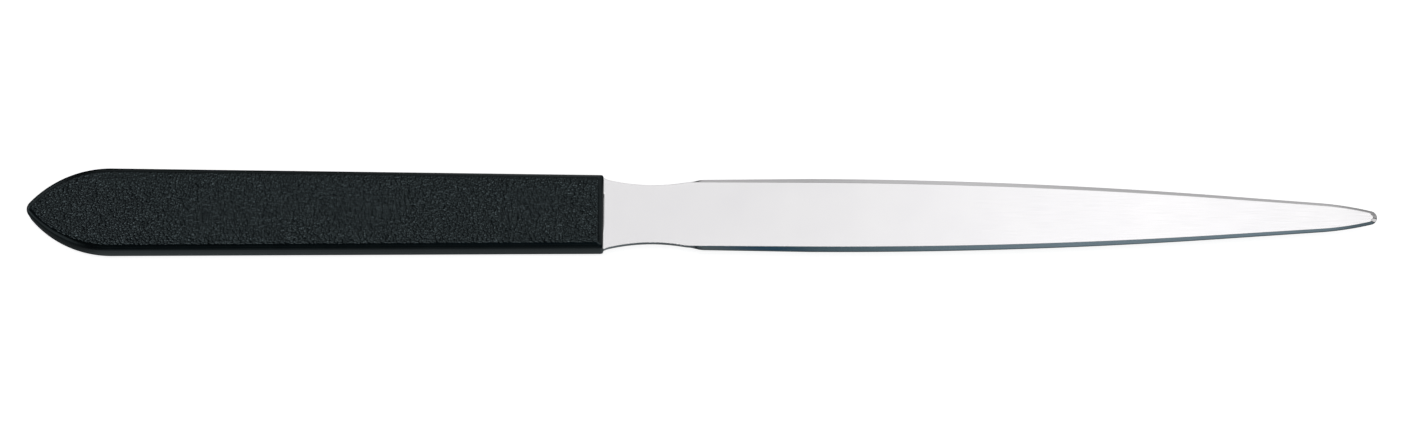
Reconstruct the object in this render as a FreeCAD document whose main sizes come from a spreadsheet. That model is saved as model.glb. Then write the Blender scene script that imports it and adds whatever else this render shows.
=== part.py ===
import FreeCAD, Part
import os
import Sketcher

# A letter opener (paper knife): a stamped, bevelled and plated steel blade whose tang is
# moulded into a one-piece plastic handle with a flat top and underside, a pointed round
# butt and a square front.
#
# Row frame, in millimetres: +X from the butt of the handle to the tip of the blade, +Z up,
# origin under the middle of the overall length, on the plane that the handle rests on.
# Both bodies are drawn in the knife's own axes, with x = 0 at the front face of the handle
# and z = 0 at the middle of the thickness, and their Placement moves them into the row frame.

SIZES = [
    ("overall_length", 229.0, "butt of the handle to the tip of the blade"),
    ("handle_length", 97.7, "butt to the front face, where the blade comes out"),
    ("handle_thickness", 6.0, "flat underside to flat top"),
    ("handle_width_front", 12.9, "across the front face"),
    ("handle_width_rear", 14.45, "at the rear end of the straight sides"),
    ("butt_flank_radius", 18.3, "arcs that draw the sides in towards the butt"),
    ("butt_nose_radius", 1.6, "round end of the butt"),
    ("handle_corner_radius", 0.4, "upright corners of the front face"),
    ("handle_edge_radius", 1.3, "rounding along the top and bottom edges"),
    ("blade_thickness", 1.2, "between the two faces, and of the tang"),
    ("edge_land", 0.45, "what the two bevels leave of the thickness at the rim"),
    ("tang_length", 88.0, "part of the blade inside the handle"),
    ("tang_width", 9.0, "narrower than the root, which meets the front face of the handle"),
    ("tang_corner_radius", 2.0, "rear corners of the tang"),
    ("tang_hole_diameter", 4.0, "holes that the handle's plastic fills"),
    ("tang_hole_front", 20.0, "front hole, behind the front face"),
    ("tang_hole_rear", 66.0, "rear hole, behind the front face"),
    ("root_width", 12.6, "blade where it meets the handle"),
    ("root_radius", 2.6, "hollow curve from the root into the neck"),
    ("neck_place", 8.3, "narrowest place of the neck, ahead of the handle"),
    ("neck_width", 10.12, "at the narrowest place"),
    ("neck_radius", 32.0, "long hollow curve of the neck"),
    ("bevel_place", 13.6, "where the bevels begin, ahead of the handle"),
    ("shoulder_radius", 5.0, "curve of the rim from the neck into the side"),
    ("shoulder_place", 17.2, "where that curve ends and the side begins"),
    ("widest_place", 35.0, "widest place of the blade, ahead of the handle"),
    ("widest_width", 12.76, "rim to rim at the widest place"),
    ("widest_face_width", 11.2, "bevel to bevel at the widest place"),
    ("taper_place", 104.0, "where the long curve of the side becomes straight"),
    ("taper_width", 7.66, "rim to rim there"),
    ("taper_face_width", 6.5, "bevel to bevel there"),
    ("tip_place", 121.5, "where the straight taper turns in towards the tip"),
    ("tip_radius", 1.15, "round tip of the rim"),
    ("face_tip_radius", 0.8, "round tip of the face, inside the bevel"),
    ("tip_bevel", 0.75, "length of the bevel at the tip"),
]

X_AXIS = -1             # Sketcher's numbers for a sketch's own axes and origin
Y_AXIS = -2
ORIGIN = (-1, 1)
FIRST, LAST, CENTRE = 1, 2, 3


def make_sheet(doc):
    """The spreadsheet that holds every driving dimension, one named cell a row."""
    sheet = doc.addObject("Spreadsheet::Sheet", "Sizes")
    for row, (alias, value, note) in enumerate(SIZES, start=1):
        sheet.set(f"A{row}", alias)
        sheet.set(f"B{row}", str(value))
        sheet.set(f"C{row}", note)
        sheet.setAlias(f"B{row}", alias)
    doc.recompute()


def make_body(doc, label):
    """A body that stands in the row frame and is drawn in the knife's own axes."""
    body = doc.addObject("PartDesign::Body", label)
    body.Label = label
    body.setExpression("Placement.Base.x", "Sizes.handle_length - Sizes.overall_length / 2")
    body.setExpression("Placement.Base.z", "Sizes.handle_thickness / 2")
    return body


def origin_plane(body, role):
    return next(item for item in body.Origin.OriginFeatures if item.Role == role)


def add_sketch(body, name, height=None):
    """An empty sketch on the body's XY plane, raised by a formula of cells if one is given."""
    sketch = body.newObject("Sketcher::SketchObject", name)
    sketch.AttachmentSupport = [(origin_plane(body, "XY_Plane"), "")]
    sketch.MapMode = "FlatFace"
    if height:
        sketch.setExpression("AttachmentOffset.Base.z", height)
    return sketch


def constrain(sketch, kind, *where):
    return sketch.addConstraint(Sketcher.Constraint(kind, *where))


def dimension(sketch, label, formula, kind, *where):
    """Add a dimension to the sketch and bind it to a formula of the sheet's cells."""
    index = constrain(sketch, kind, *where, float(sketch.evalExpression(formula)))
    sketch.renameConstraint(index, label)
    sketch.setExpression("Constraints." + label, formula)


class Outline:
    """An outline drawn piece by piece in a sketch.

    Each piece is a line or an arc that starts where the last one ended, and a smooth piece
    is tangent to the one before it. Coordinates are first guesses: dimensions set the size.
    """

    def __init__(self, sketch, start):
        self.sketch = sketch
        self.ends = []
        self.place = FreeCAD.Vector(*start, 0)

    def line(self, end, smooth=False):
        end = FreeCAD.Vector(*end, 0)
        return self._add(Part.LineSegment(self.place, end), end, smooth)

    def arc(self, middle, end, smooth=True):
        end = FreeCAD.Vector(*end, 0)
        return self._add(Part.Arc(self.place, FreeCAD.Vector(*middle, 0), end), end, smooth)

    def _add(self, curve, end, smooth):
        number = self.sketch.addGeometry(curve)
        start, finish = (number, FIRST), (number, LAST)
        if not self.sketch.getPoint(*finish).isEqual(end, 1e-6):
            start, finish = finish, start
        if self.ends:
            constrain(self.sketch, "Tangent" if smooth else "Coincident", *self.ends[-1][1], *start)
        self.ends.append((start, finish))
        self.place = end
        return number

    def close(self, smooth=False):
        """Join the end of the last piece to the start of the first one with a line."""
        start, finish = self.ends[0][0], self.ends[-1][1]
        number = self.sketch.addGeometry(Part.LineSegment(self.place, self.sketch.getPoint(*start)))
        constrain(self.sketch, "Tangent" if smooth else "Coincident", *finish, number, FIRST)
        constrain(self.sketch, "Coincident", *start, number, LAST)
        return number

    def close_along_axis(self):
        """Close the half of a symmetrical outline with a line along the sketch's X axis."""
        number = self.close()
        constrain(self.sketch, "PointOnObject", number, FIRST, X_AXIS)
        constrain(self.sketch, "PointOnObject", number, LAST, X_AXIS)

    def place_end(self, number, label, ahead=None, behind=None, half_width=None):
        """Dimension the far end of a piece from the origin of the sketch."""
        end = next(finish for start, finish in self.ends if finish[0] == number)
        if ahead:
            dimension(self.sketch, label + "_ahead", ahead, "DistanceX", *ORIGIN, *end)
        if behind:
            dimension(self.sketch, label + "_behind", behind, "DistanceX", *end, *ORIGIN)
        if half_width:
            dimension(self.sketch, label + "_half_width", half_width, "DistanceY", *ORIGIN, *end)
        return end

    def radius(self, number, label, formula):
        dimension(self.sketch, label + "_radius", formula, "Radius", number)


def draw_tang_and_neck(half):
    """The tang, the root that meets the handle and the neck, up to where the bevels begin."""
    sketch = half.sketch
    tang_end = half.line((-88.0, 2.5))
    tang_corner = half.arc((-87.4, 3.9), (-86.0, 4.5))
    tang_side = half.line((0.0, 4.5), smooth=True)
    root_face = half.line((0.0, 6.3))
    root = half.arc((0.55, 6.05), (1.25, 5.84), smooth=False)
    neck = half.arc((8.3, 5.06), (13.6, 5.5))

    constrain(sketch, "Vertical", tang_end)
    constrain(sketch, "Horizontal", tang_side)
    constrain(sketch, "Vertical", root_face)
    half.place_end(tang_end, "tang_end", behind="Sizes.tang_length")
    half.radius(tang_corner, "tang_corner", "Sizes.tang_corner_radius")
    tang_front = half.place_end(tang_side, "tang_side", half_width="Sizes.tang_width / 2")
    constrain(sketch, "PointOnObject", *tang_front, Y_AXIS)
    half.place_end(root_face, "root", half_width="Sizes.root_width / 2")
    half.radius(root, "root", "Sizes.root_radius")
    half.radius(neck, "neck", "Sizes.neck_radius")
    neck_centre = "Sizes.neck_width / 2 + Sizes.neck_radius"
    dimension(sketch, "neck_centre_ahead", "Sizes.neck_place", "DistanceX", *ORIGIN, neck, CENTRE)
    dimension(sketch, "neck_centre_aside", neck_centre, "DistanceY", *ORIGIN, neck, CENTRE)
    half.place_end(neck, "bevel", ahead="Sizes.bevel_place")
    return neck


def draw_side_and_tip(half, widest, taper, tip_reach, tip_radius):
    """From the widest place of the blade to its tip, with formulas for the half widths."""
    sketch = half.sketch
    side_end = half.ends[-1][1]
    reach, round_end, y = (float(sketch.evalExpression(cell)) for cell in (tip_reach, tip_radius, taper))
    belly = half.arc((72.0, half.place.y - 0.7), (104.0, y), smooth=False)
    taper_line = half.line((121.5, y - 1.3), smooth=True)
    half.arc((127.0, y - 1.9), (reach - 0.8 * round_end, 0.98 * round_end))
    tip = half.arc((reach - 0.2 * round_end, 0.6 * round_end), (reach, 0.0))
    half.close_along_axis()

    dimension(sketch, "widest_ahead", "Sizes.widest_place", "DistanceX", *ORIGIN, *side_end)
    dimension(sketch, "widest_half_width", widest, "DistanceY", *ORIGIN, *side_end)
    constrain(sketch, "Vertical", belly, CENTRE, *side_end)
    half.place_end(belly, "taper", ahead="Sizes.taper_place", half_width=taper)
    half.place_end(taper_line, "tip_place", ahead="Sizes.tip_place")
    half.place_end(tip, "tip", ahead=tip_reach)
    half.radius(tip, "tip", tip_radius)
    constrain(sketch, "PointOnObject", tip, CENTRE, X_AXIS)


def draw_rim_half(sketch):
    """Half of the blade's outline at its rim, which is the outline seen from above."""
    half = Outline(sketch, (-88.0, 0.0))
    neck = draw_tang_and_neck(half)
    neck_front = half.arc((14.8, 5.72), (15.9, 5.97))
    shoulder = half.arc((16.5, 6.1), (17.1, 6.18))
    half.line((35.0, 6.33), smooth=True)
    constrain(sketch, "Equal", neck, neck_front)
    half.radius(shoulder, "shoulder", "Sizes.shoulder_radius")
    half.place_end(shoulder, "shoulder", ahead="Sizes.shoulder_place")
    draw_side_and_tip(
        half,
        widest="Sizes.widest_width / 2",
        taper="Sizes.taper_width / 2",
        tip_reach="Sizes.overall_length - Sizes.handle_length",
        tip_radius="Sizes.tip_radius",
    )


def draw_face_half(sketch):
    """Half of the outline of the blade's flat face, which the bevels go round."""
    half = Outline(sketch, (-88.0, 0.0))
    draw_tang_and_neck(half)
    half.arc((13.95, 5.54), (14.3, 5.55))
    side_rear = half.line((17.2, 5.55), smooth=True)
    half.line((35.0, 5.55), smooth=True)
    constrain(sketch, "Horizontal", side_rear)
    half.place_end(side_rear, "shoulder", ahead="Sizes.shoulder_place")
    draw_side_and_tip(
        half,
        widest="Sizes.widest_face_width / 2",
        taper="Sizes.taper_face_width / 2",
        tip_reach="Sizes.overall_length - Sizes.handle_length - Sizes.tip_bevel",
        tip_radius="Sizes.face_tip_radius",
    )


def draw_handle_half(sketch):
    """Half of the handle's outline: square front, straight tapered side, pointed round butt."""
    half = Outline(sketch, (0.0, 0.0))
    front = half.line((0.0, 6.45))
    side = half.line((-83.9, 7.2))
    flank = half.arc((-91.5, 5.4), (-97.1, 1.3))
    nose = half.arc((-97.45, 0.7), (-97.6, 0.0))
    half.close_along_axis()

    constrain(sketch, "PointOnObject", front, FIRST, Y_AXIS)
    constrain(sketch, "Vertical", front)
    half.place_end(front, "front", half_width="Sizes.handle_width_front / 2")
    half.place_end(side, "side", half_width="Sizes.handle_width_rear / 2")
    half.radius(flank, "flank", "Sizes.butt_flank_radius")
    half.radius(nose, "nose", "Sizes.butt_nose_radius")
    half.place_end(nose, "butt", behind="Sizes.handle_length")
    constrain(sketch, "PointOnObject", nose, CENTRE, X_AXIS)


def draw_tang_holes(sketch):
    """The two round holes on the centre line of the tang."""
    for label, cell in (("front", "Sizes.tang_hole_front"), ("rear", "Sizes.tang_hole_rear")):
        centre = FreeCAD.Vector(-float(sketch.evalExpression(cell)), 0, 0)
        hole = sketch.addGeometry(Part.Circle(centre, FreeCAD.Vector(0, 0, 1), 2.0))
        constrain(sketch, "PointOnObject", hole, CENTRE, X_AXIS)
        dimension(sketch, label + "_hole_behind", cell, "DistanceX", hole, CENTRE, *ORIGIN)
        dimension(sketch, label + "_hole_diameter", "Sizes.tang_hole_diameter", "Diameter", hole)


def draw_tang(sketch):
    """The whole outline of the tang, with its holes left standing as islands."""
    whole = Outline(sketch, (0.0, -4.5))
    front = whole.line((0.0, 4.5))
    left_side = whole.line((-86.0, 4.5))
    left_corner = whole.arc((-87.4, 3.9), (-88.0, 2.5))
    rear = whole.line((-88.0, -2.5), smooth=True)
    right_corner = whole.arc((-87.4, -3.9), (-86.0, -4.5))
    whole.close(smooth=True)

    constrain(sketch, "PointOnObject", front, FIRST, Y_AXIS)
    constrain(sketch, "Symmetric", front, FIRST, front, LAST, *ORIGIN)
    constrain(sketch, "Horizontal", left_side)
    constrain(sketch, "Symmetric", rear, FIRST, rear, LAST, X_AXIS)
    constrain(sketch, "Equal", left_corner, right_corner)
    whole.radius(left_corner, "corner", "Sizes.tang_corner_radius")
    whole.place_end(front, "front", half_width="Sizes.tang_width / 2")
    whole.place_end(rear, "rear", behind="Sizes.tang_length")
    draw_tang_holes(sketch)


def pad(body, sketch, name, length, side_type="One side"):
    feature = body.newObject("PartDesign::Pad", name)
    feature.Profile = sketch
    feature.SideType = side_type
    feature.setExpression("Length", length)
    return feature


def pocket(body, sketch, name, length):
    """Cut a sketch's shape to both sides of its own plane, length being the whole depth."""
    feature = body.newObject("PartDesign::Pocket", name)
    feature.Profile = sketch
    feature.SideType = "Symmetric"
    feature.setExpression("Length", length)
    return feature


def mirror(body, name, plane_role):
    """Mirror all that the body holds so far, and keep both halves as one solid."""
    feature = body.newObject("PartDesign::Mirrored", name)
    feature.TransformMode = "Whole shape"
    feature.MirrorPlane = (origin_plane(body, plane_role), [""])
    feature.Refine = True
    body.Tip = feature
    body.Document.recompute()
    return feature


def fillet(body, base, name, element_names, radius):
    feature = body.newObject("PartDesign::Fillet", name)
    feature.Base = (base, element_names)
    feature.setExpression("Radius", radius)
    body.Document.recompute()
    return feature


def make_blade(doc):
    """A quarter of the blade, padded to the rim and lofted to the face, mirrored twice."""
    body = make_body(doc, "blade")
    rim = add_sketch(body, "RimOutline")
    draw_rim_half(rim)
    pad(body, rim, "RimPad", "Sizes.edge_land / 2")

    rim_edge = add_sketch(body, "RimEdge", height="Sizes.edge_land / 2")
    draw_rim_half(rim_edge)
    face = add_sketch(body, "FaceOutline", height="Sizes.blade_thickness / 2")
    draw_face_half(face)
    doc.recompute()
    bevel = body.newObject("PartDesign::AdditiveLoft", "Bevel")
    bevel.Profile = rim_edge
    bevel.Sections = [face]
    bevel.Ruled = True
    doc.recompute()

    mirror(body, "OtherSide", "XZ_Plane")
    mirror(body, "Underside", "XY_Plane")
    holes = add_sketch(body, "TangHoles")
    draw_tang_holes(holes)
    pocket(body, holes, "HolePocket", "2 * Sizes.blade_thickness")
    doc.recompute()
    return body


def flat_faces(shape):
    """Names of the flat horizontal faces of a shape."""
    names = []
    for number, item in enumerate(shape.Faces, start=1):
        if isinstance(item.Surface, Part.Plane) and abs(item.Surface.Axis.z) > 0.999:
            names.append(f"Face{number}")
    return names


def front_corners(shape):
    """Names of the upright edges at the front of a shape."""
    front = shape.BoundBox.XMax
    names = []
    for number, item in enumerate(shape.Edges, start=1):
        upright = item.BoundBox.XLength < 0.001 and item.BoundBox.YLength < 0.001
        if upright and abs(item.BoundBox.XMax - front) < 0.001:
            names.append(f"Edge{number}")
    return names


def make_handle(doc):
    """Half of the handle, padded and mirrored, with its edges rounded and the tang's space cut."""
    body = make_body(doc, "handle")
    outline = add_sketch(body, "HandleOutline")
    draw_handle_half(outline)
    pad(body, outline, "HandlePad", "Sizes.handle_thickness", "Symmetric")
    doc.recompute()
    whole = mirror(body, "OtherSide", "XZ_Plane")
    corners = fillet(body, whole, "FrontCorners", front_corners(whole.Shape), "Sizes.handle_corner_radius")
    fillet(body, corners, "Edges", flat_faces(corners.Shape), "Sizes.handle_edge_radius")
    space = add_sketch(body, "TangSpace")
    draw_tang(space)
    pocket(body, space, "TangPocket", "Sizes.blade_thickness")
    doc.recompute()
    return body


def check(doc, bodies):
    """Stop if any object failed, or if any body is not one valid solid."""
    for item in doc.Objects:
        if "Invalid" in item.State or "Error" in item.State:
            raise RuntimeError(f"{item.Name}: {item.State}")
    for body in bodies:
        shape = body.Shape
        if shape.isNull() or not shape.isValid() or len(shape.Solids) != 1:
            raise RuntimeError(f"{body.Label} is not one valid solid")
        box = shape.optimalBoundingBox(False, False)
        spans = ((box.XMin, box.XMax), (box.YMin, box.YMax), (box.ZMin, box.ZMax))
        print(body.Label, f"{shape.Volume:.1f} mm3", *(f"{low:.3f} to {high:.3f}" for low, high in spans))


def main():
    doc = FreeCAD.newDocument("LetterOpener")
    make_sheet(doc)
    bodies = [make_blade(doc), make_handle(doc)]
    doc.recompute()
    check(doc, bodies)
    os.makedirs("parts", exist_ok=True)
    for body in bodies:
        body.Shape.exportStep(f"parts/{body.Label}.step")


main()
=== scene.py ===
import math

import bpy
from mathutils import Matrix, Vector, noise


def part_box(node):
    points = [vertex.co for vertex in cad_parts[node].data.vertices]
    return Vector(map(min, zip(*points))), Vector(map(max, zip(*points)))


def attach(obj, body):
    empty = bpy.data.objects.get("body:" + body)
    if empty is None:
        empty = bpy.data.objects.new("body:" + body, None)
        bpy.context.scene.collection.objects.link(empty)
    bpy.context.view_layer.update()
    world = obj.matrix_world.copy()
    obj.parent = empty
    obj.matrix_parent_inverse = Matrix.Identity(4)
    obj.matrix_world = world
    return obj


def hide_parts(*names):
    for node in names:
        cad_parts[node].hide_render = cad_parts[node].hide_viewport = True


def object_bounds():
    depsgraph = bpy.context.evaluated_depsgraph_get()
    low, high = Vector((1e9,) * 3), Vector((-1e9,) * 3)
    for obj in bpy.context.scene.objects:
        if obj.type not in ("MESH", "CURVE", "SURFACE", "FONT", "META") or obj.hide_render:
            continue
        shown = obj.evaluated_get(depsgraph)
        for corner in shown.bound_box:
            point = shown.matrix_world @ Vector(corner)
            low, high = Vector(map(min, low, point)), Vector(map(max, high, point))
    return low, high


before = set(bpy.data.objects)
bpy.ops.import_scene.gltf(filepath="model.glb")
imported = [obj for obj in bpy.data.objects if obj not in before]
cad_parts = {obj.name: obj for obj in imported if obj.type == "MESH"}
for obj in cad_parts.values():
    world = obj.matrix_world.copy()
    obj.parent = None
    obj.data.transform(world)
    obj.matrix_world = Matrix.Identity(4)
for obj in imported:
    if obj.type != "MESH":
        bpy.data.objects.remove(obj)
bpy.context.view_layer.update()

MM = 0.001

# Handle, as in the CAD model. Its length, rear width and thickness come from the frame.
FRONT_WIDTH = 12.9 * MM
FLANK_RADIUS = 18.3 * MM
NOSE_RADIUS = 1.6 * MM
EDGE_RADIUS = 1.3 * MM

# Handle mesh: how closely it is sampled. The front corners follow a squared round of this power.
GRAIN_STEP = 0.18 * MM
FACE_ROWS = 64
EDGE_RINGS = 9
CORNER_STATIONS = 7
NOSE_STATIONS = 9
CORNER_POWER = 7.0

# The handle's two faces: a slight crown across them, and leather grain of pebbles between creases.
# The creases sway, the grain is weaker in patches, and it fades out as the rounded edge turns down.
CROWN = 0.2 * MM
CROWN_POWER = 8
GRAIN_DEPTH = 0.02 * MM
PEBBLE_SIZE = 0.52 * MM
CREASE_SHARE = 0.6
SWAY_SIZE = 1.7 * MM
SWAY_SHARE = 0.35
PATCH_SIZE = 3.1 * MM
PATCH_MIDDLE = 0.7
PATCH_SWING = 0.5
FACE_NOISE_GAP = 0.05
GRAIN_FADE_START = math.radians(12)
GRAIN_FADE_END = math.radians(48)
GRAIN_SEED = 1

# Blade, as in the CAD model. Places are along X from the handle's front face, and half widths
# are from the centre line. The rim is the blade's outline, and the face is its flat middle.
ROOT_HALF = 6.3 * MM
ROOT_RADIUS = 2.6 * MM
NECK_PLACE = 8.3 * MM
NECK_HALF = 5.06 * MM
NECK_RADIUS = 32.0 * MM
BEVEL_PLACE = 13.6 * MM
SHOULDER_PLACE = 17.2 * MM
SHOULDER_RADIUS = 5.0 * MM
WIDEST_PLACE = 35.0 * MM
TAPER_PLACE = 104.0 * MM
TIP_PLACE = 121.5 * MM
RIM_WIDEST_HALF = 6.38 * MM
RIM_TAPER_HALF = 3.83 * MM
RIM_TIP_RADIUS = 1.15 * MM
FACE_WIDEST_HALF = 5.6 * MM
FACE_TAPER_HALF = 3.25 * MM
FACE_TIP_RADIUS = 0.8 * MM
TIP_BEVEL = 0.75 * MM
EDGE_LAND = 0.45 * MM
TANG_HALF = 4.5 * MM
TANG_CORNER = 2.0 * MM

# Blade mesh: spans of evenly spaced sections (start, end, count), and how round its creases are.
SECTION_SPANS = (
    (0, 2 * MM, 14),
    (2 * MM, BEVEL_PLACE, 24),
    (BEVEL_PLACE, SHOULDER_PLACE + MM, 40),
    (SHOULDER_PLACE + MM, WIDEST_PLACE, 12),
    (WIDEST_PLACE, TIP_PLACE, 60),
)
TIP_SECTIONS = 48
TANG_CORNER_SECTIONS = 8
FACE_SHARES = (0, 0.3, 0.6, 0.85)
CREASE_SOFTNESS = 0.05 * MM
CREASE_CUT = 0.3
NARROW_FACE_SHARE = 0.4


# ---------------------------------------------------------------- meshes

def make_piece(name, vertices, faces, material):
    """A smooth-shaded mesh object that rides on the part's one body."""
    mesh = bpy.data.meshes.new(name)
    mesh.from_pydata(vertices, [], faces)
    mesh.validate()
    mesh.polygons.foreach_set("use_smooth", [True] * len(mesh.polygons))
    mesh.materials.append(material)
    piece = bpy.data.objects.new(name, mesh)
    bpy.context.scene.collection.objects.link(piece)
    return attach(piece, "root")


def smoothstep(low, high, value):
    """0 up to low, 1 from high on, and a smooth rise between them."""
    share = min(1.0, max(0.0, (value - low) / (high - low)))
    return share * share * (3 - 2 * share)


def direction(angle):
    """The flat unit vector at an angle from +X."""
    return Vector((math.cos(angle), math.sin(angle)))


# ---------------------------------------------------------------- handle

def face_outline(low, high):
    """Half of the flat face's outline, front corner to nose, as points and the angles they face."""
    inset = EDGE_RADIUS
    nose_centre = Vector((low.x + NOSE_RADIUS, 0))
    centre_drop = high.y - FLANK_RADIUS
    centre_run = math.sqrt((FLANK_RADIUS - NOSE_RADIUS) ** 2 - centre_drop ** 2)
    flank_centre = nose_centre + Vector((centre_run, centre_drop))
    to_front = Vector((high.x, FRONT_WIDTH / 2)) - flank_centre
    side_angle = math.atan2(to_front.y, to_front.x) + math.acos(FLANK_RADIUS / to_front.length)
    nose_angle = math.atan2(-centre_drop, -centre_run)
    side_end = flank_centre + (FLANK_RADIUS - inset) * direction(side_angle)
    along_side = direction(side_angle - math.pi / 2)
    side_start = side_end + along_side * ((high.x - inset - side_end.x) / along_side.x)

    side_count = round((side_start - side_end).length / GRAIN_STEP)
    flank_count = round(FLANK_RADIUS * (nose_angle - side_angle) / GRAIN_STEP)
    stations = [(side_start.lerp(side_end, i / side_count), side_angle) for i in range(side_count)]
    for i in range(flank_count):
        angle = side_angle + (nose_angle - side_angle) * i / flank_count
        stations.append((flank_centre + (FLANK_RADIUS - inset) * direction(angle), angle))
    for i in range(NOSE_STATIONS + 1):
        angle = nose_angle + (math.pi - nose_angle) * i / NOSE_STATIONS
        stations.append((nose_centre + (NOSE_RADIUS - inset) * direction(angle), angle))
    return stations


def corner_reach(angle):
    """How far the front corner's outline lies from the flat face's corner: a squared round."""
    spread_out = abs(math.cos(angle)) ** CORNER_POWER + abs(math.sin(angle)) ** CORNER_POWER
    return EDGE_RADIUS / spread_out ** (1 / CORNER_POWER)


def perimeter(stations):
    """The flat face's border, anticlockwise from above: (column, row, way out to the handle's side)."""
    last_column = len(stations) - 1
    side_angle = stations[0][1]
    fan = [side_angle * (i + 1) / (CORNER_STATIONS + 1) for i in range(CORNER_STATIONS)]
    border = [(0, row, Vector((EDGE_RADIUS, 0))) for row in range(FACE_ROWS + 1)]
    border += [(0, FACE_ROWS, corner_reach(angle) * direction(angle)) for angle in fan]
    left = [(column, FACE_ROWS, EDGE_RADIUS * direction(stations[column][1]))
            for column in range(last_column)]
    border += left
    border.append((last_column, 0, Vector((-EDGE_RADIUS, 0))))
    border += [(column, 0, Vector((out.x, -out.y))) for column, _, out in reversed(left)]
    border += [(0, 0, corner_reach(angle) * direction(-angle)) for angle in reversed(fan)]
    return border


def leather(x, y, side):
    """Height of the leather grain from 0 to 1: rounded pebbles between creases, weaker in patches."""
    place = Vector((x, y, side * FACE_NOISE_GAP))
    sway = noise.noise_vector(place / SWAY_SIZE) * SWAY_SHARE
    distances = noise.voronoi(place / PEBBLE_SIZE + sway)[0]
    pebble = smoothstep(0.0, CREASE_SHARE, distances[1] - distances[0])
    patch = PATCH_MIDDLE + PATCH_SWING * noise.noise(place / PATCH_SIZE)
    return min(1.0, pebble * patch)


class Shell:
    """One face of the handle with its rounded edge: side is 1 for the top and -1 for the underside."""

    def __init__(self, stations, border, plane, side, first):
        self.stations = stations
        self.half = max(edge.y for edge, _ in stations)
        self.plane = plane
        self.side = side
        self.first = first
        self.vertices = []
        self.faces = []
        self.add_face_grid()
        self.add_rings(border)

    def place(self, flat, out, turn):
        """A point of the crowned face, or of its rounded edge turned towards the side, with its grain."""
        fade = 1 - smoothstep(GRAIN_FADE_START, GRAIN_FADE_END, turn)
        spot = flat + out * math.sin(turn)
        crown = CROWN * (abs(flat.y) / self.half) ** CROWN_POWER
        drop = EDGE_RADIUS * (1 - math.cos(turn)) + crown * math.cos(turn)
        if fade > 0:
            sunk = GRAIN_DEPTH * fade * (1 - leather(spot.x, spot.y, self.side))
            spot = spot - out * (math.sin(turn) * sunk / EDGE_RADIUS)
            drop += math.cos(turn) * sunk
        return (spot.x, spot.y, self.plane - self.side * drop)

    def flat_point(self, column, row):
        """The point of the flat face at a station (column) and a share of the way across (row)."""
        edge = self.stations[column][0]
        return Vector((edge.x, edge.y * (2 * row / FACE_ROWS - 1)))

    def grid_index(self, column, row):
        """The vertex at a column and row. The last column is the single point at the nose."""
        if column == len(self.stations) - 1:
            row = 0
        return self.first + column * (FACE_ROWS + 1) + row

    def add(self, *corners):
        """A polygon without repeated corners, wound to face outwards."""
        loop = list(dict.fromkeys(corners))
        if len(loop) > 2:
            self.faces.append(loop if self.side > 0 else loop[::-1])

    def add_face_grid(self):
        """The flat face, as columns of points from the front edge to the nose."""
        last = len(self.stations) - 1
        for column in range(last):
            for row in range(FACE_ROWS + 1):
                self.vertices.append(self.place(self.flat_point(column, row), Vector((0, 0)), 0.0))
        self.vertices.append(self.place(self.stations[last][0], Vector((0, 0)), 0.0))
        at = self.grid_index
        for column in range(last):
            for row in range(FACE_ROWS):
                self.add(at(column, row), at(column, row + 1), at(column + 1, row + 1), at(column + 1, row))

    def add_rings(self, border):
        """The rounded edge, as rings that turn from the face to the side."""
        inner = [self.grid_index(column, row) for column, row, _ in border]
        for ring in range(1, EDGE_RINGS + 1):
            turn = math.pi / 2 * ring / EDGE_RINGS
            outer = []
            for column, row, out in border:
                outer.append(self.first + len(self.vertices))
                self.vertices.append(self.place(self.flat_point(column, row), out, turn))
            for i in range(len(border)):
                following = (i + 1) % len(border)
                self.add(inner[i], outer[i], outer[following], inner[following])
            inner = outer
        self.rim = inner


def make_handle(material):
    """Both shells, with the straight side wall between their rims. The seed keeps the grain the same."""
    noise.seed_set(GRAIN_SEED)
    low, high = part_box("handle")
    stations = face_outline(low, high)
    border = perimeter(stations)
    top = Shell(stations, border, high.z, 1, 0)
    under = Shell(stations, border, low.z, -1, len(top.vertices))
    walls = []
    for i in range(len(border)):
        following = (i + 1) % len(border)
        walls.append((top.rim[i], under.rim[i], under.rim[following], top.rim[following]))
    vertices = top.vertices + under.vertices
    faces = top.faces + under.faces + walls
    piece = make_piece("grained_handle", vertices, faces, material)
    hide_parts("handle")
    return piece


# ---------------------------------------------------------------- blade

def arc_half(x, centre, radius, hollow=False):
    """The half width on an arc, which curves in towards the centre line if it is hollow."""
    rise = math.sqrt(max(0.0, radius ** 2 - (x - centre.x) ** 2))
    return centre.y - rise if hollow else centre.y + rise


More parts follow.
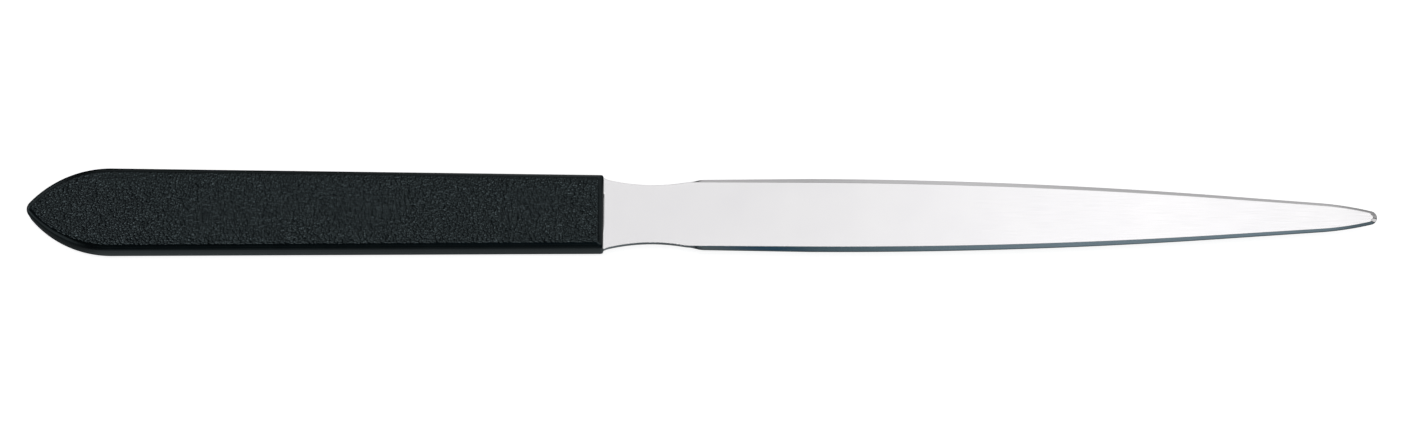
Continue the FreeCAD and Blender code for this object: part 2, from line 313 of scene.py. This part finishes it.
class BladeOutline:
    """Half of an outline of the blade. RimOutline and FaceOutline each add their own shoulder."""

    def __init__(self, widest_half, taper_half, tip_radius, tip_end):
        self.widest_half = widest_half
        self.tip_end = tip_end
        self.tip_radius = tip_radius
        self.neck_centre = Vector((NECK_PLACE, NECK_HALF + NECK_RADIUS))
        self.root_centre = self.find_root_centre()
        neck_per_root = ROOT_RADIUS / (NECK_RADIUS - ROOT_RADIUS)
        self.root_end = self.root_centre.x + (self.root_centre.x - self.neck_centre.x) * neck_per_root
        run = TAPER_PLACE - WIDEST_PLACE
        fall = widest_half - taper_half
        self.belly_radius = (run ** 2 + fall ** 2) / (2 * fall)
        self.belly_centre = Vector((WIDEST_PLACE, widest_half - self.belly_radius))
        self.taper_half = taper_half
        self.taper_slope = -run / (taper_half - self.belly_centre.y)
        self.set_tip()

    def find_root_centre(self):
        """The root's hollow arc starts at the root's corner and runs on into the neck's arc."""
        corner = Vector((0, ROOT_HALF))
        between = self.neck_centre - corner
        apart = between.length
        along = (ROOT_RADIUS ** 2 - (NECK_RADIUS - ROOT_RADIUS) ** 2 + apart ** 2) / (2 * apart)
        aside = math.sqrt(ROOT_RADIUS ** 2 - along ** 2)
        forward = between / apart
        return corner + forward * along + Vector((forward.y, -forward.x)) * aside

    def set_tip(self):
        """The taper ends in a long arc that meets the tip's small one."""
        start = Vector((TIP_PLACE, self.taper_half + self.taper_slope * (TIP_PLACE - TAPER_PLACE)))
        outward = Vector((-self.taper_slope, 1)).normalized()
        self.tip_centre = Vector((self.tip_end - self.tip_radius, 0))
        back = start - self.tip_centre
        reach = 2 * (outward.dot(back) - self.tip_radius)
        self.flank_radius = (back.length_squared - self.tip_radius ** 2) / reach
        self.flank_centre = start - outward * self.flank_radius
        to_tip = (self.tip_centre - self.flank_centre).normalized()
        self.flank_end = self.tip_centre.x + self.tip_radius * to_tip.x

    def half(self, x):
        """The half width at a place along the blade."""
        if x < self.root_end:
            return arc_half(x, self.root_centre, ROOT_RADIUS, hollow=True)
        if x < WIDEST_PLACE:
            return self.shoulder(x)
        if x < TAPER_PLACE:
            return arc_half(x, self.belly_centre, self.belly_radius)
        if x < TIP_PLACE:
            return self.taper_half + self.taper_slope * (x - TAPER_PLACE)
        if x < self.flank_end:
            return arc_half(x, self.flank_centre, self.flank_radius)
        return arc_half(x, self.tip_centre, self.tip_radius)


class RimOutline(BladeOutline):
    """Half of the blade's own outline."""

    def shoulder(self, x):
        """The neck swells through a small round into the side, which widens a little as it goes."""
        apart = NECK_RADIUS + SHOULDER_RADIUS
        run = SHOULDER_PLACE - NECK_PLACE
        centre = Vector((SHOULDER_PLACE, self.neck_centre.y - math.sqrt(apart ** 2 - run ** 2)))
        if x < NECK_PLACE + run * NECK_RADIUS / apart:
            return arc_half(x, self.neck_centre, NECK_RADIUS, hollow=True)
        if x < SHOULDER_PLACE:
            return arc_half(x, centre, SHOULDER_RADIUS)
        start = centre.y + SHOULDER_RADIUS
        return start + (self.widest_half - start) * (x - SHOULDER_PLACE) / (WIDEST_PLACE - SHOULDER_PLACE)


class FaceOutline(BladeOutline):
    """Half of the outline of the flat face between the bevels."""

    def shoulder(self, x):
        """The neck's curve eases into the flat face's straight side."""
        end = arc_half(BEVEL_PLACE, self.neck_centre, NECK_RADIUS, hollow=True)
        turn = math.asin((BEVEL_PLACE - NECK_PLACE) / NECK_RADIUS)
        radius = (self.widest_half - end) / (1 - math.cos(turn))
        centre = Vector((BEVEL_PLACE + radius * math.sin(turn), self.widest_half - radius))
        if x < BEVEL_PLACE:
            return arc_half(x, self.neck_centre, NECK_RADIUS, hollow=True)
        if x < centre.x:
            return arc_half(x, centre, radius)
        return self.widest_half


def spread(start, end, count):
    """Evenly spaced places from start up to, but not including, end."""
    return [start + (end - start) * i / count for i in range(count)]


def blade_stations(reach):
    """(face x, face half width, rim x, rim half width) from the root's shoulders to the tip."""
    rim = RimOutline(RIM_WIDEST_HALF, RIM_TAPER_HALF, RIM_TIP_RADIUS, reach)
    face = FaceOutline(FACE_WIDEST_HALF, FACE_TAPER_HALF, FACE_TIP_RADIUS, reach - TIP_BEVEL)
    places = [x for start, end, count in SECTION_SPANS for x in spread(start, end, count)]
    stations = [(x, face.half(x), x, rim.half(x)) for x in places]
    for i in range(TIP_SECTIONS + 1):
        share = 1 - (1 - i / TIP_SECTIONS) ** 2
        face_x = TIP_PLACE + (face.tip_end - TIP_PLACE) * share
        rim_x = TIP_PLACE + (rim.tip_end - TIP_PLACE) * share
        stations.append((face_x, face.half(face_x), rim_x, rim.half(rim_x)))
    return stations


def tang_stations(length):
    """The tang inside the handle, from its round-cornered end to the root's shoulders."""
    stations = []
    for i in range(TANG_CORNER_SECTIONS + 1):
        angle = math.pi / 2 * i / TANG_CORNER_SECTIONS
        x = -length + TANG_CORNER * (1 - math.cos(angle))
        half = TANG_HALF - TANG_CORNER * (1 - math.sin(angle))
        stations.append((x, half, x, half))
    stations.append((0, TANG_HALF, 0, TANG_HALF))
    return stations


def soft_corner(before, corner, after, softness):
    """A crease as a small round, with a point on each flat to keep it true."""
    back = (before - corner).normalized()
    ahead = (after - corner).normalized()
    bend = back + ahead
    return [
        corner + back * 2 * softness,
        corner + back * softness,
        corner + bend * (softness * CREASE_CUT),
        corner + ahead * softness,
        corner + ahead * 2 * softness,
    ]


def quarter_section(station, half_thickness):
    """A quarter of the blade's section, from the middle of its face to the middle of its rim."""
    face_x, face_half, rim_x, rim_half = station
    middle = Vector((face_x, 0, half_thickness))
    face_edge = Vector((face_x, face_half, half_thickness))
    land_edge = Vector((rim_x, rim_half, EDGE_LAND / 2))
    land_middle = Vector((rim_x, rim_half, 0))
    inboard = middle if face_half > 0 else middle - Vector((MM, 0, 0))
    softness = min(CREASE_SOFTNESS, NARROW_FACE_SHARE * face_half)
    points = [middle.lerp(face_edge, share) for share in FACE_SHARES]
    points += soft_corner(inboard, face_edge, land_edge, softness)
    points += soft_corner(face_edge, land_edge, land_middle, CREASE_SOFTNESS)
    points.append(land_middle)
    return points


def make_blade(material):
    """A closed tube of sections from the tang's end to the tip."""
    low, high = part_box("blade")
    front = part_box("handle")[1].x
    middle = (low.z + high.z) / 2
    half_thickness = (high.z - low.z) / 2
    stations = tang_stations(front - low.x) + blade_stations(high.x - front)
    vertices, faces = [], []
    for station in stations:
        quarter = quarter_section(station, half_thickness)
        inward = quarter[-2:0:-1]
        ring = [(p.x, p.y, p.z) for p in quarter]
        ring += [(p.x, p.y, -p.z) for p in inward]
        ring += [(p.x, -p.y, -p.z) for p in quarter]
        ring += [(p.x, -p.y, p.z) for p in inward]
        first_ring = len(vertices) == 0
        vertices += [(front + x, y, middle + z) for x, y, z in ring]
        count = len(ring)
        start = len(vertices) - count
        if first_ring:
            faces.append(list(range(start, start + count)))
            continue
        for i in range(count):
            following = (i + 1) % count
            faces.append((start - count + i, start + i, start + following, start - count + following))
    piece = make_piece("polished_blade", vertices, faces, material)
    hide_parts("blade")
    return piece


# ---------------------------------------------------------------- materials

class NodeTree:
    """A node tree built by short calls. A source is a plain value or another node's output."""

    def __init__(self, owner):
        owner.use_nodes = True
        self.tree = owner.node_tree
        self.tree.nodes.clear()

    def set(self, socket, source):
        if isinstance(source, bpy.types.NodeSocket):
            self.tree.links.new(source, socket)
        else:
            socket.default_value = source

    def add(self, kind, *sources, **settings):
        """A node with its inputs set in their own order, and its other inputs and settings by name."""
        node = self.tree.nodes.new(kind)
        for name, value in settings.items():
            if name in node.inputs:
                self.set(node.inputs[name], value)
            else:
                setattr(node, name, value)
        for source, socket in zip(sources, node.inputs):
            self.set(socket, source)
        return node

    def maths(self, operation, *sources):
        return self.add("ShaderNodeMath", *sources, operation=operation).outputs["Value"]

    def ranged(self, value, low, high, new_low=0.0, new_high=1.0):
        return self.add("ShaderNodeMapRange", value, low, high, new_low, new_high).outputs["Result"]

    def noise(self, size, place, detail):
        node = self.add("ShaderNodeTexNoise", Vector=place, Scale=1 / size, Detail=detail)
        return node.outputs["Fac"]

    def ramp(self, value, stops):
        """A colour ramp of (position, colour) stops."""
        node = self.add("ShaderNodeValToRGB", value)
        elements = node.color_ramp.elements
        while len(elements) < len(stops):
            elements.new(0.5)
        for element, (position, colour) in zip(elements, stops):
            element.position = position
            element.color = (*colour, 1)
        return node.outputs["Color"]

    def bump(self, height, distance, strength):
        node = self.add("ShaderNodeBump", Height=height, Distance=distance, Strength=strength)
        return node.outputs["Normal"]


class MaterialTree(NodeTree):
    """A material's tree round one Principled shader, with the object's own coordinates."""

    def __init__(self, name):
        self.material = bpy.data.materials.new(name)
        super().__init__(self.material)
        coordinates = self.add("ShaderNodeTexCoord")
        self.place = coordinates.outputs["Object"]
        self.facing = coordinates.outputs["Normal"]
        self.shader = self.add("ShaderNodeBsdfPrincipled")
        self.add("ShaderNodeOutputMaterial", self.shader.outputs["BSDF"])

    def shade(self, socket_name, source):
        self.set(self.shader.inputs[socket_name], source)


# Where a noise texture has most of its values.
NOISE_LOW = 0.3
NOISE_HIGH = 0.7

# The plastic: dark and light of its mottling, and the sizes of its mottling, pebbles and finest grain.
PLASTIC_DARK = (0.002, 0.003, 0.0035)
PLASTIC_LIGHT = (0.0035, 0.005, 0.0055)
PLASTIC_GLOSS_TINT = (0.75, 0.95, 1.0, 1)
MOTTLE_SIZE = 2.4 * MM
DOME_SIZE = 0.44 * MM
DOME_SWAY_SIZE = 1.3 * MM
DOME_SWAY = 0.5 * MM
FINE_SIZE = 0.2 * MM
FINE_SHARE = 0.2
GRAIN_RELIEF = 0.17 * MM

# The grain is full where the surface lies level, and all but gone where it has turned to the side.
# These are the Z parts of the directions in which the surface faces.
TURNED = 0.945
LEVEL = 0.99
TURNED_GRAIN = 0.03

# The metal: its faint clouds, and polishing marks drawn out along the blade.
METAL_DARK = (0.80, 0.79, 0.805)
METAL_LIGHT = (0.83, 0.82, 0.83)
CLOUD_SIZE = 9 * MM
MARK_SIZE = 0.15 * MM
MARK_STRETCH = (0.03, 1, 1)
MARK_RELIEF = 0.0008 * MM


def handle_plastic():
    """Black moulded plastic, mottled a little, with tiny glossy pebbles on its level faces."""
    nodes = MaterialTree("grained_black_plastic")
    mottle = nodes.noise(MOTTLE_SIZE, nodes.place, detail=3.0)
    nodes.shade("Base Color", nodes.ramp(mottle, [(NOISE_LOW, PLASTIC_DARK), (NOISE_HIGH, PLASTIC_LIGHT)]))
    sway = nodes.add("ShaderNodeTexNoise", Vector=nodes.place, Scale=1 / DOME_SWAY_SIZE, Detail=1.0)
    swayed = nodes.add("ShaderNodeVectorMath", sway.outputs["Color"], (DOME_SWAY, DOME_SWAY, DOME_SWAY),
                       nodes.place, operation="MULTIPLY_ADD")
    pebbles = nodes.add("ShaderNodeTexVoronoi", Vector=swayed.outputs["Vector"], Scale=1 / DOME_SIZE)
    hollow = nodes.maths("MULTIPLY", pebbles.outputs["Distance"], pebbles.outputs["Distance"])
    fine = nodes.noise(FINE_SIZE, nodes.place, detail=1.0)
    height = nodes.maths("MULTIPLY_ADD", hollow, -1.0, nodes.maths("MULTIPLY", fine, FINE_SHARE))
    split = nodes.add("ShaderNodeSeparateXYZ", nodes.facing)
    level = nodes.maths("ABSOLUTE", split.outputs["Z"])
    strength = nodes.ranged(level, TURNED, LEVEL, TURNED_GRAIN, 1.0)
    nodes.shade("Normal", nodes.bump(height, GRAIN_RELIEF, strength))
    nodes.shade("Roughness", nodes.ranged(fine, NOISE_LOW, NOISE_HIGH, 0.10, 0.17))
    nodes.shade("Specular IOR Level", 0.5)
    nodes.shade("Specular Tint", PLASTIC_GLOSS_TINT)
    return nodes.material


def blade_metal():
    """Polished nickel plate: faint cloudiness, and hair-fine polishing marks along the blade."""
    nodes = MaterialTree("polished_nickel")
    cloud = nodes.noise(CLOUD_SIZE, nodes.place, detail=3.0)
    nodes.shade("Base Color", nodes.ramp(cloud, [(NOISE_LOW, METAL_DARK), (NOISE_HIGH, METAL_LIGHT)]))
    stretched = nodes.add("ShaderNodeMapping", Vector=nodes.place, Scale=MARK_STRETCH)
    marks = nodes.noise(MARK_SIZE, stretched.outputs["Vector"], detail=4.0)
    nodes.shade("Normal", nodes.bump(marks, MARK_RELIEF, 0.25))
    nodes.shade("Roughness", nodes.ranged(marks, NOISE_LOW, NOISE_HIGH, 0.09, 0.15))
    nodes.shade("Metallic", 1.0)
    return nodes.material


# ---------------------------------------------------------------- studio

# The studio as the object sees it: angles in degrees from overhead, and the light from there.
# The three tables go across, with + towards +Y: a soft light over the handle and one over the blade,
# both darker to their sides, and beyond the butt a low light on each side, for the other views.
HANDLE_LIGHT = (
    (-180, (0.10, 0.115, 0.12)),
    (-95, (0.10, 0.115, 0.12)),
    (-88, (0.010, 0.014, 0.016)),
    (-78, (0.015, 0.02, 0.022)),
    (-72, (0.06, 0.075, 0.08)),
    (-52, (0.06, 0.075, 0.08)),
    (-46, (0.015, 0.02, 0.022)),
    (-22, (0.015, 0.02, 0.022)),
    (-10, (0.04, 0.045, 0.05)),
    (-6, (0.30, 0.31, 0.32)),
    (-2, (6.2, 6.2, 6.2)),
    (7, (5.8, 5.8, 5.8)),
    (12, (1.7, 1.7, 1.7)),
    (16, (0.60, 0.60, 0.60)),
    (21, (0.25, 0.25, 0.25)),
    (27, (0.12, 0.12, 0.12)),
    (50, (0.07, 0.07, 0.07)),
    (66, (0.22, 0.22, 0.22)),
    (88, (0.22, 0.22, 0.22)),
    (96, (0.04, 0.04, 0.04)),
    (150, (0.04, 0.045, 0.05)),
    (180, (0.10, 0.115, 0.12)),
)
BLADE_LIGHT = (
    (-180, (0.10, 0.115, 0.12)),
    (-93, (0.10, 0.115, 0.12)),
    (-87, (0.03, 0.04, 0.045)),
    (-75, (0.05, 0.07, 0.08)),
    (-62, (0.10, 0.125, 0.13)),
    (-52, (0.09, 0.115, 0.12)),
    (-46, (0.015, 0.05, 0.09)),
    (-36, (0.012, 0.05, 0.085)),
    (-33.5, (0.05, 0.08, 0.09)),
    (-31, (0.06, 0.10, 0.11)),
    (-27, (0.09, 0.135, 0.15)),
    (-22, (0.14, 0.19, 0.22)),
    (-13, (0.17, 0.23, 0.26)),
    (-9, (0.03, 0.04, 0.045)),
    (-2, (0.03, 0.04, 0.045)),
    (3, (0.60, 0.60, 0.60)),
    (8, (0.96, 0.96, 0.96)),
    (47, (0.96, 0.96, 0.96)),
    (52, (0.12, 0.12, 0.12)),
    (62, (0.12, 0.12, 0.12)),
    (67, (0.54, 0.54, 0.54)),
    (84, (0.54, 0.54, 0.54)),
    (94, (0.40, 0.40, 0.40)),
    (135, (0.40, 0.40, 0.40)),
    (145, (0.15, 0.15, 0.15)),
    (180, (0.10, 0.115, 0.12)),
)
END_LIGHT = (
    (-180, (0.10, 0.115, 0.12)),
    (-94, (0.10, 0.115, 0.12)),
    (-80, (0.55, 0.56, 0.57)),
    (-46, (0.55, 0.56, 0.57)),
    (-34, (0.05, 0.055, 0.06)),
    (34, (0.05, 0.055, 0.06)),
    (46, (0.55, 0.56, 0.57)),
    (80, (0.55, 0.56, 0.57)),
    (94, (0.10, 0.115, 0.12)),
    (180, (0.10, 0.115, 0.12)),
)

# How strong they are along the object, with + towards the blade's tip.
LIGHT_ALONG = (
    (-90, 3.00),
    (-75, 3.00),
    (-60, 0.90),
    (-32, 0.90),
    (-20, 0.25),
    (-14.5, 0.40),
    (-11, 1.00),
    (-8, 1.10),
    (-5.5, 1.00),
    (-3.5, 0.85),
    (-1.3, 1.04),
    (0.4, 0.95),
    (1.8, 1.01),
    (2.7, 1.055),
    (3.8, 1.20),
    (5.5, 1.30),
    (14, 1.30),
    (22, 0.80),
    (75, 0.80),
    (90, 0.25),
)

# The blade's light turns across as it goes along, by this much per degree and up to this limit.
SLANT = 3.0
SLANT_LIMIT = math.radians(14)

# Along the object: where one light gives way to the next.
END_LIGHT_END = math.radians(-30)
HANDLE_LIGHT_START = math.radians(-20)
HANDLE_LIGHT_END = math.radians(-4.8)
BLADE_LIGHT_START = math.radians(-2.8)


def by_angle(nodes, radians, stops):
    """A ramp over an angle from -180 to 180 degrees, of (degrees, colour) or (degrees, grey) stops."""
    share = nodes.maths("MULTIPLY_ADD", radians, 0.5 / math.pi, 0.5)
    placed = []
    for degrees, light in stops:
        colour = light if isinstance(light, tuple) else (light, light, light)
        placed.append((0.5 + degrees / 360, colour))
    return nodes.ramp(share, placed)


def make_world():
    """The soft lights overhead, as the object sees them. The camera itself sees a plain pale room."""
    world = bpy.data.worlds.new("studio")
    bpy.context.scene.world = world
    nodes = NodeTree(world)
    towards = nodes.add("ShaderNodeTexCoord").outputs["Generated"]
    split = nodes.add("ShaderNodeSeparateXYZ", towards)
    along = nodes.maths("ARCSINE", split.outputs["X"])
    across = nodes.maths("ARCTAN2", split.outputs["Y"], split.outputs["Z"])
    slanted = nodes.maths("MULTIPLY_ADD", nodes.maths("MINIMUM", along, SLANT_LIMIT), SLANT, across)
    over_handle = nodes.ranged(along, END_LIGHT_END, HANDLE_LIGHT_START)
    over_blade = nodes.ranged(along, HANDLE_LIGHT_END, BLADE_LIGHT_START)
    behind = nodes.add("ShaderNodeMixRGB", over_handle,
                       by_angle(nodes, across, END_LIGHT), by_angle(nodes, across, HANDLE_LIGHT))
    light = nodes.add("ShaderNodeMixRGB", over_blade,
                      behind.outputs["Color"], by_angle(nodes, slanted, BLADE_LIGHT))
    strength = by_angle(nodes, along, LIGHT_ALONG)
    studio = nodes.add("ShaderNodeBackground", light.outputs["Color"], strength)
    room = nodes.add("ShaderNodeBackground", (1, 1, 1, 1), 1.0)
    seen = nodes.add("ShaderNodeLightPath").outputs["Is Camera Ray"]
    mix = nodes.add("ShaderNodeMixShader", seen, studio.outputs["Background"], room.outputs["Background"])
    nodes.add("ShaderNodeOutputWorld", mix.outputs["Shader"])


FLOOR_HALF = 3.0
FLOOR_COLOUR = (0.6, 0.6, 0.6, 1)
FLOOR_GLOW = 0.85


def make_floor():
    """A plain pale table with a little light of its own, which keeps the object's shadow faint."""
    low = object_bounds()[0]
    corners = [(x * FLOOR_HALF, y * FLOOR_HALF, low.z) for x, y in ((-1, -1), (1, -1), (1, 1), (-1, 1))]
    mesh = bpy.data.meshes.new("floor")
    mesh.from_pydata(corners, [], [(0, 1, 2, 3)])
    floor = bpy.data.objects.new("floor", mesh)
    bpy.context.scene.collection.objects.link(floor)
    material = bpy.data.materials.new("pale_floor")
    material.use_nodes = True
    shader = material.node_tree.nodes["Principled BSDF"]
    shader.inputs["Base Color"].default_value = FLOOR_COLOUR
    shader.inputs["Roughness"].default_value = 0.9
    shader.inputs["Specular IOR Level"].default_value = 0.0
    shader.inputs["Emission Color"].default_value = (1, 1, 1, 1)
    shader.inputs["Emission Strength"].default_value = FLOOR_GLOW
    mesh.materials.append(material)
    # The object's gloss shows the studio, and not this table.
    floor.visible_glossy = False


# The camera stands on the -Y side, tilted from overhead, with the object turned a little in its picture.
CAMERA_DISTANCE = 0.6684
CAMERA_TILT = math.radians(15)
CAMERA_ROLL = math.radians(0.26)
CAMERA_LENS = 100.0
SENSOR_WIDTH = 36.0
AIM = Vector((1.0 * MM, 0, 3 * MM))


def make_camera():
    """The scene's one camera, turned about the point that it looks at."""
    data = bpy.data.cameras.new("camera")
    data.lens = CAMERA_LENS
    data.sensor_width = SENSOR_WIDTH
    data.clip_start = 0.01
    data.clip_end = 20
    camera = bpy.data.objects.new("camera", data)
    bpy.context.scene.collection.objects.link(camera)
    turn = Matrix.Rotation(CAMERA_TILT, 4, "X") @ Matrix.Rotation(CAMERA_ROLL, 4, "Z")
    camera.matrix_world = Matrix.Translation(AIM) @ turn @ Matrix.Translation((0, 0, CAMERA_DISTANCE))
    bpy.context.scene.camera = camera


bpy.context.scene.view_settings.view_transform = "Standard"
make_camera()
make_floor()
make_world()
make_handle(handle_plastic())
make_blade(blade_metal())
